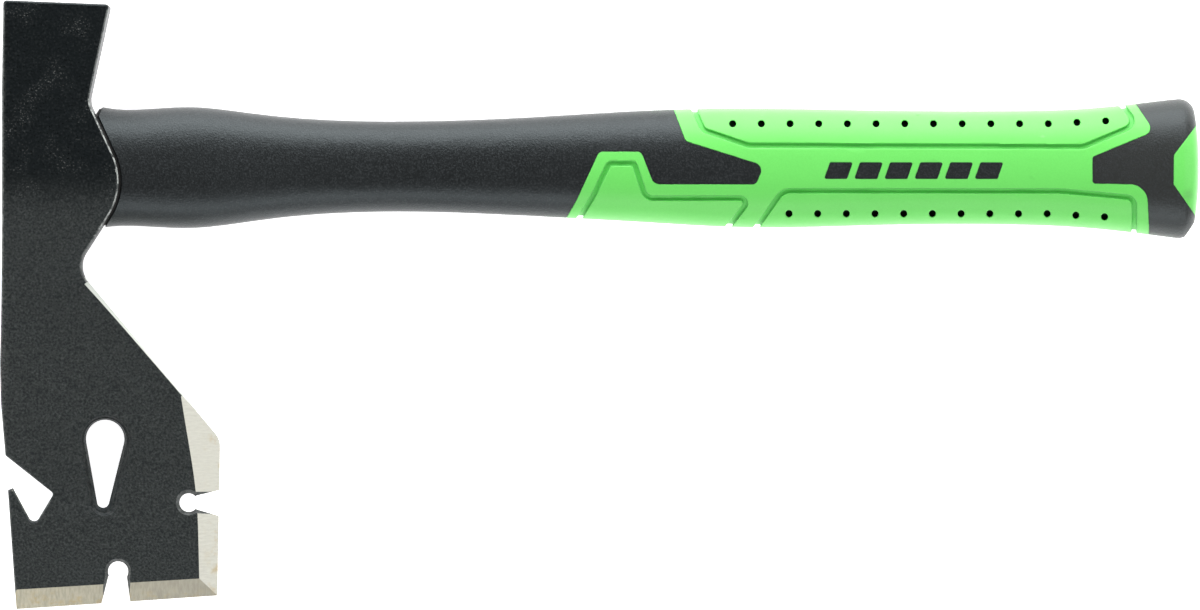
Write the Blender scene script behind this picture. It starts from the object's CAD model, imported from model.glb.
"""Looks for the roofing hatchet: rounded grip mouldings, procedural materials, soft light and the camera."""

from math import cos, radians

import bpy
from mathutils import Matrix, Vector
from mathutils.bvhtree import BVHTree
from mathutils.interpolate import poly_3d_calc


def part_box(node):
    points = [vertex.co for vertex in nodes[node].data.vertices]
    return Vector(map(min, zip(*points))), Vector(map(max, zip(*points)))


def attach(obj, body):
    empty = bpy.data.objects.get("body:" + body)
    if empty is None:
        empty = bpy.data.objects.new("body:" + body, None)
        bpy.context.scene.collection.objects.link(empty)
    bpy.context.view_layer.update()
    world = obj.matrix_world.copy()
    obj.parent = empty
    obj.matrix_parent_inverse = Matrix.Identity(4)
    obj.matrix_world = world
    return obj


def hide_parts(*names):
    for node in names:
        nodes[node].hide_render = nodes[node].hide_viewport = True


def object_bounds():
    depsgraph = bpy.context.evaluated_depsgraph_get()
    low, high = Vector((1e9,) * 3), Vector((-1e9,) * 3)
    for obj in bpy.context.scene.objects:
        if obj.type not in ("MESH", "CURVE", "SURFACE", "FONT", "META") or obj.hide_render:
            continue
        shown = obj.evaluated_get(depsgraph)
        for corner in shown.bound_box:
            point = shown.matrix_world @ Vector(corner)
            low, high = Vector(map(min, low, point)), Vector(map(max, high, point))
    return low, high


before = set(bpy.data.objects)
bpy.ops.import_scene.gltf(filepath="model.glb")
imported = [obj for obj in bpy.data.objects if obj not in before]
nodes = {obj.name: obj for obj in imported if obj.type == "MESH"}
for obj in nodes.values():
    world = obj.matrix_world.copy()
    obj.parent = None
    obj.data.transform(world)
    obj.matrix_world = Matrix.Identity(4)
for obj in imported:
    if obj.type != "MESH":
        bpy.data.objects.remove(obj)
cad_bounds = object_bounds()

# ---- Where things are, worked out from the frame, in metres ----
MM = 0.001
head_low, head_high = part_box("hatchet_head")
core_low, core_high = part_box("handle_core")
length = cad_bounds[1][0] - cad_bounds[0][0]
thickness = head_high.z - head_low.z
axis_y = (core_low.y + core_high.y) / 2
butt_end = cad_bounds[1][0]
slot_middle = (head_low.x + 30.2 * MM, head_low.y + 41.2 * MM, 0.0)
slot_reach = 18 * MM  # from the nail slot's middle to past the ends of its flare
ground_top = head_low.y + 95 * MM  # nothing above this is ground


# ---- Short ways to build node materials ----
class Shader:
    """A material with a principled shader, and helpers that add nodes and join them up."""

    def __init__(self, name):
        self.material = bpy.data.materials.new(name)
        self.material.use_nodes = True
        self.tree = self.material.node_tree
        self.surface = self.tree.nodes["Principled BSDF"]
        self.place = self.add("ShaderNodeTexCoord").outputs["Object"]

    def add(self, kind, **settings):
        node = self.tree.nodes.new(kind)
        for name, value in settings.items():
            setattr(node, name, value)
        return node

    def put(self, socket, value):
        """Set a socket, or link something to it."""
        if isinstance(value, bpy.types.NodeSocket):
            self.tree.links.new(value, socket)
        else:
            socket.default_value = value

    def put_colour(self, socket, colour):
        self.put(socket, colour if isinstance(colour, bpy.types.NodeSocket) else (*colour, 1))

    def math(self, operation, first, second=0.0):
        node = self.add("ShaderNodeMath", operation=operation)
        self.put(node.inputs[0], first)
        self.put(node.inputs[1], second)
        return node.outputs[0]

    def product(self, first, *others):
        for other in others:
            first = self.math("MULTIPLY", first, other)
        return first

    def inverse(self, value):
        return self.math("SUBTRACT", 1, value)

    def stretched(self, scale):
        """Object coordinates scaled by (x, y, z)."""
        node = self.add("ShaderNodeMapping", vector_type="POINT")
        self.put(node.inputs["Vector"], self.place)
        node.inputs["Scale"].default_value = scale
        return node.outputs["Vector"]

    def noise(self, size, detail=2.0, rough=0.5, vector=None):
        """Noise whose lumps are about size across, in metres, or one unit when a vector is given."""
        node = self.add("ShaderNodeTexNoise")
        self.put(node.inputs["Vector"], vector or self.place)
        node.inputs["Scale"].default_value = 1.0 if vector else 1.0 / size
        node.inputs["Detail"].default_value = detail
        node.inputs["Roughness"].default_value = rough
        return node.outputs["Fac"]

    def between(self, value, low, high, start=0.0, end=1.0):
        """Value mapped smoothly from low..high to start..end."""
        node = self.add("ShaderNodeMapRange", interpolation_type="SMOOTHSTEP")
        self.put(node.inputs["Value"], value)
        node.inputs["From Min"].default_value = low
        node.inputs["From Max"].default_value = high
        node.inputs["To Min"].default_value = start
        node.inputs["To Max"].default_value = end
        return node.outputs["Result"]

    def mix(self, factor, first, second):
        node = self.add("ShaderNodeMix", data_type="RGBA")
        self.put(node.inputs["Factor"], factor)
        self.put_colour(node.inputs["A"], first)
        self.put_colour(node.inputs["B"], second)
        return node.outputs["Result"]

    def openness(self, reach):
        """1 on open surfaces and less in hollows that are narrower than reach."""
        node = self.add("ShaderNodeAmbientOcclusion", samples=8)
        node.inputs["Distance"].default_value = reach
        return node.outputs["AO"]

    def split(self, vector):
        node = self.add("ShaderNodeSeparateXYZ")
        self.put(node.inputs[0], vector)
        return node.outputs

    def flatness(self):
        """1 on faces square to the tool's thickness, and 0 on faces that run along it."""
        geometry = self.add("ShaderNodeNewGeometry")
        return self.math("ABSOLUTE", self.split(geometry.outputs["True Normal"])["Z"])

    def distance(self, place, spot):
        node = self.add("ShaderNodeVectorMath", operation="DISTANCE")
        self.put(node.inputs[0], place)
        node.inputs[1].default_value = spot
        return node.outputs["Value"]

    def bump(self, height, depth, normal=None):
        """Raise the surface by up to depth metres where height is 1."""
        node = self.add("ShaderNodeBump")
        node.inputs["Strength"].default_value = 1.0
        node.inputs["Distance"].default_value = depth
        self.put(node.inputs["Height"], height)
        if normal:
            self.put(node.inputs["Normal"], normal)
        return node.outputs["Normal"]

    def finish(self, colour, roughness, normal=None, metallic=0.0, **uniform):
        self.put_colour(self.surface.inputs["Base Color"], colour)
        self.put(self.surface.inputs["Roughness"], roughness)
        self.put(self.surface.inputs["Metallic"], metallic)
        if normal:
            self.put(self.surface.inputs["Normal"], normal)
        for name, value in uniform.items():
            self.surface.inputs[name.replace("_", " ")].default_value = value
        return self.material


# ---- The head: black coat, bare rims and ground steel ----
COOL = (0.84, 0.96, 1.0, 1.0)  # tint of the gloss on the black coat and the charcoal plastic
CHEEK_BLACK = (0.0026, 0.0040, 0.0048)
BLADE_BLACK = (0.0236, 0.0256, 0.0242)
SLOT_BLACK = (0.003, 0.004, 0.005)
PORE_BLACK = (0.002, 0.003, 0.003)
SCUFF_GREY = (0.036, 0.040, 0.040)
PEAK_GREY = (0.064, 0.067, 0.064)
BACK_GREY = (0.060, 0.064, 0.060)
FLECK_GREY = (0.16, 0.165, 0.16)
RIM_STEEL = (0.46, 0.48, 0.46)


def head_coat():
    """Black coat with a leathery grain, glossier and darker on the cheeks, worn through along the rims."""
    s = Shader("head_coat")
    x = s.split(s.place)["X"]
    y = s.split(s.place)["Y"]
    blade = s.between(y, axis_y + 1 * MM, axis_y - 17 * MM)
    grain = s.noise(0.65 * MM, 3, 0.6)
    patches = s.between(s.noise(9 * MM, 3, 0.6), 0.45, 0.75)
    tone = s.mix(blade, CHEEK_BLACK, BLADE_BLACK)
    tone = s.mix(s.product(patches, s.between(blade, 0, 1, 0.12, 0.3)), tone, SCUFF_GREY)
    back_edge = s.between(x, head_low.x + 2.4 * MM, head_low.x + 0.8 * MM)
    tone = s.mix(s.product(back_edge, s.between(grain, 0.3, 0.6, 0.1, 0.7)), tone, BACK_GREY)
    tone = s.mix(s.between(grain, 0.35, 0.55, 0.85, 0.0), tone, PORE_BLACK)
    peaks = s.product(s.between(grain, 0.53, 0.72, 0.0, 0.6), s.between(blade, 0, 1, 0.3, 1.0))
    tone = s.mix(peaks, tone, PEAK_GREY)
    specks = s.between(s.noise(0.5 * MM, 1, 0.4), 0.61, 0.68, 0, 0.8)
    tone = s.mix(s.product(specks, patches, s.inverse(blade)), tone, FLECK_GREY)
    flare = slot_flare(s)
    tone = s.mix(s.product(flare, 0.7), tone, SLOT_BLACK)
    worn = s.product(rim_wear(s), s.inverse(s.product(flare, 0.6)))
    colour = s.mix(worn, tone, RIM_STEEL)
    roughness = s.math("ADD", s.between(blade, 0, 1, 0.27, 0.40), s.between(grain, 0.3, 0.7, 0.0, 0.14))
    normal = s.bump(s.noise(1.6 * MM, 3, 0.55), 0.10 * MM)
    normal = s.bump(s.product(grain, s.between(blade, 0, 1, 0.4, 1.0)), 0.34 * MM, normal)
    return s.finish(colour, roughness, normal, Specular_IOR_Level=0.36, Specular_Tint=COOL)


def slot_flare(s):
    """1 on the sloping faces round the nail slot, where the coat is darker and less worn."""
    sloping = s.between(s.flatness(), 0.985, 0.95)
    from_middle = s.distance(s.stretched((1, 1, 0)), slot_middle)
    return s.product(sloping, s.between(from_middle, slot_reach + 1 * MM, slot_reach))


def rim_wear(s):
    """How far the coat has worn off the rounded rims, in ragged patches: most where the handle enters."""
    flatness = s.flatness()
    rounded = s.product(s.between(flatness, 0.97, 0.86), s.between(flatness, 0.25, 0.5))
    ragged = s.between(s.noise(1.6 * MM, 4, 0.7), 0.40, 0.58, 0.15, 1.0)
    x = s.split(s.place)["X"]
    y = s.split(s.place)["Y"]
    below_face = s.between(y, head_high.y - 2.2 * MM, head_high.y - 3.0 * MM)
    beside_handle = s.between(s.math("ABSOLUTE", s.math("SUBTRACT", y, axis_y)), 24 * MM, 17 * MM)
    round_mouth = s.product(beside_handle, s.between(x, head_low.x + 20 * MM, head_low.x + 24 * MM))
    elsewhere = s.between(y, axis_y - 60 * MM, axis_y - 40 * MM, 0.18, 0.32)
    amount = s.product(s.math("MAXIMUM", round_mouth, elsewhere), below_face)
    return s.product(rounded, ragged, amount)


SIDE_STEEL = (0.635, 0.63, 0.56)
TOE_STEELS = [(0.54, 0.51, 0.39), (0.41, 0.39, 0.315)]
DRESSED_STEEL = (0.64, 0.68, 0.62)
GRIND_LINE = (0.26, 0.245, 0.20)
RUST = (0.45, 0.34, 0.16)


def ground_steel(name, line_scale, line_depth, tones, stain_at):
    """Bare ground steel: stains, and line_scale fine lines to a metre along X, Y and Z."""
    s = Shader(name)
    lines = s.noise(1, 4, 0.65, s.stretched(line_scale))
    across = s.between(s.split(s.place)["X"], head_low.x, head_high.x)
    colour = s.mix(s.between(lines, 0.3, 0.7, line_depth, 0.0), s.mix(across, *tones), GRIND_LINE)
    blotches = s.between(s.noise(3.5 * MM, 4, 0.65), 0.50, 0.72)
    colour = s.mix(s.product(blotches, stain_at(s), 0.7), colour, RUST)
    roughness = s.between(lines, 0.25, 0.75, 0.36, 0.5)
    normal = s.bump(lines, 0.012 * MM)
    return s.finish(colour, roughness, normal, metallic=0.6)


def near_side_edge(s):
    """Where the side grind is stained."""
    return s.between(s.split(s.place)["X"], head_high.x - 6 * MM, head_high.x)


def near_toe_edge(s):
    """Where the toe grind is stained."""
    return s.between(s.split(s.place)["Y"], head_low.y + 7 * MM, head_low.y + 2 * MM)


def nowhere(s):
    """For steel that has no stains."""
    return 0.0


coat = head_coat()
side_steel = ground_steel("ground_side", (160, 1500, 900), 0.28, [SIDE_STEEL] * 2, near_side_edge)
toe_steel = ground_steel("ground_toe", (1500, 160, 900), 0.55, TOE_STEELS, near_toe_edge)
dressed_steel = ground_steel("dressed_edge", (900, 900, 3600), 0.2, [DRESSED_STEEL] * 2, nowhere)

# The head's material slots: it is coated all over and bare where it is ground
COATED, SIDE_GRIND, TOE_GRIND, DRESSED = range(4)
head = nodes["hatchet_head"]
head.data.materials.clear()
for material in (coat, side_steel, toe_steel, dressed_steel):
    head.data.materials.append(material)

DRESS_HEADING = (0.764, 0.645)  # which way the slanting edge under the throat faces, in side view
DRESS_MATCH = 0.97  # how nearly a face has to head that way
DRESS_LEAN = 0.22  # and how little it may lean across the blade
FLATTEST_GRIND = cos(radians(19.4))  # flatness of a grind, at the two ends of what is allowed
STEEPEST_GRIND = cos(radians(21.4))
GRIND_HEADING = 0.3  # a grind heads for its own edge at least this much
GRIND_STRAY = 0.05  # and strays from it less than this


def ground_kind(polygon):
    """Which of the head's slots a face takes."""
    normal = polygon.normal
    if polygon.center.y > ground_top:
        return COATED
    heading = normal.x * DRESS_HEADING[0] + normal.y * DRESS_HEADING[1]
    if heading > DRESS_MATCH and abs(normal.z) < DRESS_LEAN:
        return DRESSED
    if not STEEPEST_GRIND < abs(normal.z) < FLATTEST_GRIND:
        return COATED
    if normal.x > GRIND_HEADING and abs(normal.y) < GRIND_STRAY:
        return SIDE_GRIND
    if normal.y < -GRIND_HEADING and abs(normal.x) < GRIND_STRAY:
        return TOE_GRIND
    return COATED


for polygon in head.data.polygons:
    polygon.material_index = ground_kind(polygon)

# ---- The handle's hard pieces ----
JACKET_DARK = (0.0068, 0.0075, 0.0078)
JACKET_LIGHT = (0.0105, 0.0112, 0.0116)
BUTT_GREY = (0.024, 0.0242, 0.0225)
SPARK_GREY = (0.034, 0.037, 0.039)


def jacket_plastic():
    """Charcoal plastic with a spark-eroded texture, paler at the butt."""
    s = Shader("jacket_plastic")
    grain = s.noise(0.5 * MM, 3, 0.6)
    cloud = s.mix(s.noise(14 * MM, 3, 0.6), JACKET_DARK, JACKET_LIGHT)
    butt = s.between(s.split(s.place)["X"], butt_end - 45 * MM, butt_end - 25 * MM, 0.0, 0.9)
    cloud = s.mix(butt, cloud, BUTT_GREY)
    colour = s.mix(s.between(grain, 0.45, 0.70, 0.0, 0.7), cloud, SPARK_GREY)
    roughness = s.between(grain, 0.3, 0.7, 0.31, 0.43)
    normal = s.bump(grain, 0.12 * MM)
    return s.finish(colour, roughness, normal, Specular_Tint=COOL)


def fibreglass():
    """The straw-coloured end of a pultruded rod."""
    s = Shader("core_fibreglass")
    strands = s.noise(1, 4, 0.7, s.stretched((60, 2600, 2600)))
    colour = s.mix(s.between(strands, 0.3, 0.7), (0.40, 0.33, 0.17), (0.62, 0.56, 0.38))
    return s.finish(colour, s.between(strands, 0.3, 0.7, 0.42, 0.6), s.bump(strands, 0.05 * MM))


def potting_epoxy():
    """Black cast epoxy with a slightly uneven poured surface."""
    s = Shader("potting_epoxy")
    swirl = s.noise(2.5 * MM, 3, 0.5)
    colour = s.mix(swirl, (0.010, 0.010, 0.011), (0.022, 0.022, 0.023))
    return s.finish(colour, s.between(swirl, 0.3, 0.7, 0.16, 0.28), s.bump(swirl, 0.12 * MM))


def seal_rubber():
    """Matt black rubber."""
    s = Shader("seal_rubber")
    grain = s.noise(0.5 * MM, 2, 0.5)
    colour = s.mix(grain, (0.006, 0.006, 0.006), (0.012, 0.012, 0.012))
    return s.finish(colour, s.between(grain, 0.3, 0.7, 0.6, 0.75), s.bump(grain, 0.02 * MM))


def dress(name, material):
    """Give a node that keeps its CAD shape its one material."""
    nodes[name].data.materials.clear()
    nodes[name].data.materials.append(material)


dress("handle_core", fibreglass())
dress("eye_epoxy", potting_epoxy())
dress("eye_seal", seal_rubber())
dress("handle_jacket", jacket_plastic())

# ---- The soft green mouldings: copies of the CAD pieces with every lip, groove and vent rounded ----
GREEN_DARK = (0.148, 0.72, 0.114)
GREEN_LIGHT = (0.170, 0.76, 0.135)
GREEN_PORE = (0.05, 0.50, 0.04)
GREEN_GROOVE = (0.014, 0.45, 0.030)
VENT_BLACK = (0.004, 0.012, 0.005)
SMUDGE_GREEN = (0.10, 0.25, 0.09)
HOLLOW_REACH = 2.0 * MM  # hollows narrower than this darken


def green_rubber(name, smudge_at=None):
    """Soft green elastomer, darker in its grooves, black in its vents, with a rubbed mark at smudge_at."""
    s = Shader(name)
    grain = s.noise(0.38 * MM, 2, 0.5)
    colour = s.mix(s.noise(20 * MM, 3, 0.55), GREEN_DARK, GREEN_LIGHT)
    colour = s.mix(s.between(grain, 0.3, 0.7, 0.12, 0.0), colour, GREEN_PORE)
    if smudge_at:
        mark = s.between(s.distance(s.place, smudge_at), 2.6 * MM, 0.4 * MM, 0, 0.5)
        colour = s.mix(s.product(mark, s.noise(1.1 * MM, 3, 0.6)), colour, SMUDGE_GREEN)
    open_sky = s.openness(HOLLOW_REACH)
    colour = s.mix(s.between(open_sky, 0.92, 0.60, 0.0, 0.60), colour, GREEN_GROOVE)
    colour = s.mix(s.between(open_sky, 0.32, 0.08, 0.0, 0.97), colour, VENT_BLACK)
    roughness = s.between(grain, 0.3, 0.7, 0.42, 0.52)
    normal = s.bump(grain, 0.012 * MM)
    return s.finish(colour, roughness, normal, Sheen_Weight=0.35, Sheen_Roughness=0.45)


SAME = cos(radians(5))  # normals that agree this well are the same surface
DIFFERENT = cos(radians(12))  # and beyond this the rounded copy keeps its own normal


def even_normals(piece, source):
    """Shade the piece by the CAD surface's own smooth normals, wherever the two shapes nearly agree."""
    cad = source.data
    tree = BVHTree.FromPolygons([v.co for v in cad.vertices], [p.vertices for p in cad.polygons])
    normals = []
    for vertex in piece.data.vertices:
        spot, _, index, _ = tree.find_nearest(vertex.co)
        face = cad.polygons[index]
        weights = poly_3d_calc([cad.vertices[i].co for i in face.vertices], spot)
        smooth = Vector()
        for corner, weight in zip(face.loop_indices, weights):
            smooth += cad.corner_normals[corner].vector * weight
        smooth.normalize()
        agreement = (smooth.dot(vertex.normal) - DIFFERENT) / (SAME - DIFFERENT)
        normals.append(vertex.normal.lerp(smooth, min(1.0, max(0.0, agreement))).normalized())
    piece.data.normals_split_custom_set_from_vertices(normals)


VOXEL = 0.2 * MM  # fine enough to keep the vents open
SMOOTHING = 0.5
SMOOTHING_PASSES = 3


def bake(piece):
    """Apply the piece's modifiers to its mesh and take them off."""
    depsgraph = bpy.context.evaluated_depsgraph_get()
    piece.data = bpy.data.meshes.new_from_object(piece.evaluated_get(depsgraph))
    piece.modifiers.clear()


def moulded(node, material, faces):
    """Show a rounded copy of a node, made of about that many triangles, in its place."""
    piece = bpy.data.objects.new(node + "_moulding", nodes[node].data.copy())
    bpy.context.collection.objects.link(piece)
    skin = piece.modifiers.new("skin", "REMESH")
    skin.mode = "VOXEL"
    skin.voxel_size = VOXEL
    rounding = piece.modifiers.new("rounding", "SMOOTH")
    rounding.factor = SMOOTHING
    rounding.iterations = SMOOTHING_PASSES
    bake(piece)
    fewer = piece.modifiers.new("fewer", "DECIMATE")
    fewer.ratio = min(1.0, faces / (2 * len(piece.data.polygons)))
    bake(piece)
    piece.data.materials.clear()
    piece.data.materials.append(material)
    piece.data.shade_smooth()
    even_normals(piece, nodes[node])
    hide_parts(node)
    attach(piece, "root")


pad_low, pad_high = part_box("butt_pad")
smudge = (pad_high.x - 3.3 * MM, (pad_low.y + pad_high.y) / 2 - 7 * MM, pad_high.z - 1.0 * MM)
moulded("grip_sleeve", green_rubber("grip_rubber"), 180000)
moulded("butt_pad", green_rubber("butt_rubber", smudge), 24000)

# ---- Floor: plain white paper that glows, so that it shows hardly any shadow ----
FLOOR_SIZE = 6.0
floor_spot = (0, 0, -0.1 * MM)
bpy.ops.mesh.primitive_grid_add(x_subdivisions=8, y_subdivisions=8, size=FLOOR_SIZE, location=floor_spot)
floor = bpy.context.object
floor.name = "floor"
paper = Shader("floor_paper")
paper.finish(paper.mix(paper.noise(0.4, 2, 0.5), (0.90, 0.90, 0.90), (0.92, 0.92, 0.92)), 0.6)
paper.surface.inputs["Emission Color"].default_value = (1, 1, 1, 1)
paper.surface.inputs["Emission Strength"].default_value = 0.95
floor.data.materials.append(paper.material)

# ---- Soft studio light ----
world = bpy.data.worlds.new("studio")
bpy.context.scene.world = world
world.use_nodes = True
world.node_tree.nodes["Background"].inputs["Color"].default_value = (1, 1, 1, 1)
world.node_tree.nodes["Background"].inputs["Strength"].default_value = 0.12


def softbox(name, place, size, watts):
    """A large area light that faces the middle of the tool, with its place and size in metres."""
    light = bpy.data.lights.new(name, "AREA")
    light.shape = "RECTANGLE"
    light.size = size[0]
    light.size_y = size[1]
    light.energy = watts
    box = bpy.data.objects.new(name, light)
    box.location = place
    box.rotation_euler = (-Vector(place)).to_track_quat("-Z", "Y").to_euler()
    bpy.context.collection.objects.link(box)


softbox("top_light", (-0.1, 1.35, 0.95), (2.4, 0.5), 22)
softbox("top_edge_light", (0.0, 1.4, 0.3), (2.6, 0.5), 22)
softbox("bottom_light", (0.0, -1.3, 0.8), (2.4, 0.5), 15)
softbox("right_light", (1.3, 0.1, 1.3), (0.7, 1.6), 10)
softbox("left_light", (-1.5, 0.1, 0.8), (0.6, 1.6), 8)

# ---- Camera: square on to the side of the tool, from far away ----
DISTANCE = 6.0
SENSOR = 36.0  # millimetres
FILL = 0.99875  # how much of the picture's width the tool takes up
camera_data = bpy.data.cameras.new("camera")
camera_data.sensor_width = SENSOR
camera_data.lens = SENSOR * (DISTANCE - thickness / 2) / (length / FILL)
camera_data.clip_end = 30.0
camera = bpy.data.objects.new("camera", camera_data)
camera.location = (0.1 * MM, 0.0, DISTANCE)
bpy.context.collection.objects.link(camera)
bpy.context.scene.camera = camera
bpy.context.scene.view_settings.view_transform = "Standard"
